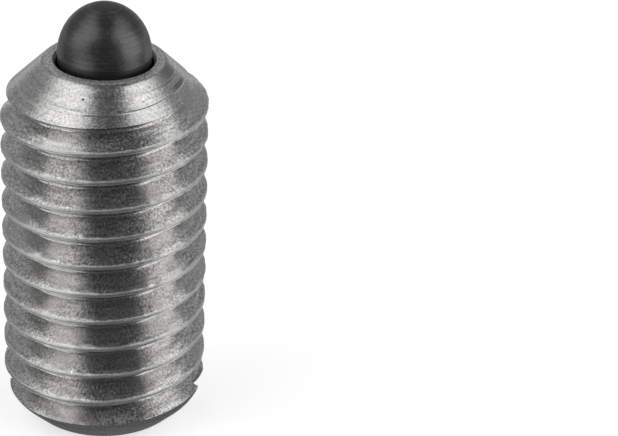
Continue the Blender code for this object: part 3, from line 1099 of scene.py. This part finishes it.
def make_camera():
    """The photograph's camera: it looks at the axis, then turns right until the part stands at the left."""
    right, up, forward = camera_axes()
    target = Vector((0.0, 0.0, CAMERA_TARGET_HEIGHT))
    place = (target - forward * CAMERA_DISTANCE) * MM
    turn = Matrix.Rotation(-CAMERA_TURN, 3, up)
    right, forward = turn @ right, turn @ forward
    tilt = Matrix.Rotation(-CAMERA_TILT, 3, right)
    up, forward = tilt @ up, tilt @ forward
    camera = bpy.data.objects.new("camera", bpy.data.cameras.new("camera"))
    bpy.context.scene.collection.objects.link(camera)
    matrix = Matrix((right, up, -forward)).transposed().to_4x4()
    matrix.translation = place
    camera.matrix_world = matrix
    camera.data.sensor_width = SENSOR_WIDTH
    camera.data.lens = FOCAL_PIXELS / IMAGE_WIDTH * SENSOR_WIDTH
    camera.data.clip_start = 1 * MM
    bpy.context.scene.camera = camera


def towards_camera():
    """The level direction from the part's axis to the camera, before the camera is turned."""
    _, _, forward = camera_axes()
    return Vector((-forward.x, -forward.y, 0.0)).normalized()


def area_light(name, width, height, brightness, axes, centre):
    """A rectangle of soft light, sizes in millimetres. Its axes point right, up and backwards."""
    light = bpy.data.lights.new(name, "AREA")
    light.shape = "RECTANGLE"
    light.size = width * MM
    light.size_y = height * MM
    light.energy = brightness * math.pi * light.size * light.size_y
    panel = bpy.data.objects.new(name, light)
    bpy.context.scene.collection.objects.link(panel)
    matrix = Matrix(axes).transposed().to_4x4()
    matrix.translation = centre * MM
    panel.matrix_world = matrix


def make_soft_boxes():
    """Level soft boxes overhead."""
    right, _, _ = camera_axes()
    near = towards_camera()
    up = Vector((0.0, 0.0, 1.0))
    for name, (sideways, forwards, brightness) in SOFT_BOXES.items():
        centre = (right * sum(sideways) / 2 + near * sum(forwards) / 2 + up) * BOX_HEIGHT
        width = (sideways[1] - sideways[0]) * BOX_HEIGHT
        depth = (forwards[1] - forwards[0]) * BOX_HEIGHT
        area_light(name, width, depth, brightness, (right, -near, up), centre)


def make_side_panels():
    """Upright soft panels that face the part from both sides."""
    right, _, _ = camera_axes()
    up = Vector((0.0, 0.0, 1.0))
    for name, (azimuth, bottom, brightness) in SIDE_PANELS.items():
        angle = math.radians(azimuth)
        away = towards_camera() * math.cos(angle) + right * math.sin(angle)
        centre = away * PANEL_DISTANCE + up * (PANEL_TOP + bottom) / 2
        axes = (away.cross(-up), up, away)
        area_light(name, PANEL_WIDTH, PANEL_TOP - bottom, brightness, axes, centre)


def make_dark_cards():
    """Cards that lie on the floor and that only reflections show: they shape what the metal reflects.

    All are painted on one ring. A dark disc round the foot is a painted shadow under the part, seen only in
    reflections.
    """
    verts = []
    for reach in (BASE_FLAT_RADIUS + CARD_GAP, CARD_REACH):
        verts += [round_axis(reach, 2 * math.pi * step / CARD_STEPS, CARD_LIFT) for step in range(CARD_STEPS)]
    faces = []
    for step in range(CARD_STEPS):
        after = (step + 1) % CARD_STEPS
        faces.append((step, CARD_STEPS + step, CARD_STEPS + after, after))
    cards = mesh_object("dark_cards", verts, faces)
    near = towards_camera()
    cards.rotation_euler.z = math.atan2(near.y, near.x)
    tree = Tree("dark_cards")
    place = tree.place()
    angle = tree.azimuth(place)
    distance = tree.axis_distance(place)
    # Painted shadow round the foot, seen only in reflections
    full_shadow = FOOT_SHADOW_REACH * FOOT_SHADOW_FADE_START
    darkness = tree.between(distance, full_shadow, FOOT_SHADOW_REACH, FOOT_SHADOW_DARKNESS, 0.0)
    for start, end, softness, nearest, farthest, share in DARK_CARDS:
        from_left = tree.between(angle, start, start + softness)
        from_right = tree.between(angle, end - softness, end, 1.0, 0.0)
        outwards = tree.between(distance, nearest * CARD_FADE_START, nearest, 0.0, share)
        inwards = tree.between(distance, farthest * CARD_FADE_START, farthest, 1.0, 0.0)
        card = tree.product(from_left, from_right, outwards, inwards)
        darkness = tree.most(darkness, card)
    glow = tree.nodes.new("ShaderNodeEmission")
    tree.links.new(tree.math("SUBTRACT", 1.0, darkness), glow.inputs["Strength"])
    tree.links.new(glow.outputs[0], tree.output.inputs["Surface"])
    cards.data.materials.append(tree.material)
    cards.visible_camera = False
    cards.visible_diffuse = False
    cards.visible_transmission = False
    cards.visible_shadow = False


def make_world():
    """A room that is dark high up on the camera's side and pale elsewhere."""
    world = bpy.data.worlds.new("studio")
    bpy.context.scene.world = world
    world.use_nodes = True
    nodes = world.node_tree.nodes
    links = world.node_tree.links
    background = nodes["Background"]
    coordinates = nodes.new("ShaderNodeTexCoord")
    palest = nodes.new("ShaderNodeVectorMath")
    palest.operation = "DOT_PRODUCT"
    links.new(coordinates.outputs["Generated"], palest.inputs[0])
    right, _, _ = camera_axes()
    forwards, sideways, upwards = PALEST_DIRECTION
    direction = forwards * towards_camera() + sideways * right + Vector((0.0, 0.0, upwards))
    palest.inputs[1].default_value = direction.normalized()
    share = nodes.new("ShaderNodeMapRange")
    share.interpolation_type = "SMOOTHSTEP"
    links.new(palest.outputs["Value"], share.inputs["Value"])
    share.inputs["From Min"].default_value = DARK_COSINE
    share.inputs["From Max"].default_value = PALE_COSINE
    share.inputs["To Min"].default_value = ROOM_DARK
    share.inputs["To Max"].default_value = ROOM_PALE
    links.new(share.outputs["Result"], background.inputs["Strength"])
    background.inputs["Color"].default_value = (1.0, 1.0, 1.0, 1.0)


def main():
    sleeve_materials = [
        thread_material(),
        turned_material(),
        plain_steel("bored_steel", 0.24, 0.4),
        faced_material(),
        sawn_material(),
    ]
    make_sleeve(sleeve_materials)
    make_pin(pin_material())
    make_spring(plain_steel("spring_wire", 0.34, 0.28))
    make_floor()
    make_camera()
    make_soft_boxes()
    make_side_panels()
    make_dark_cards()
    make_world()
    bpy.context.scene.view_settings.view_transform = "Standard"


main()
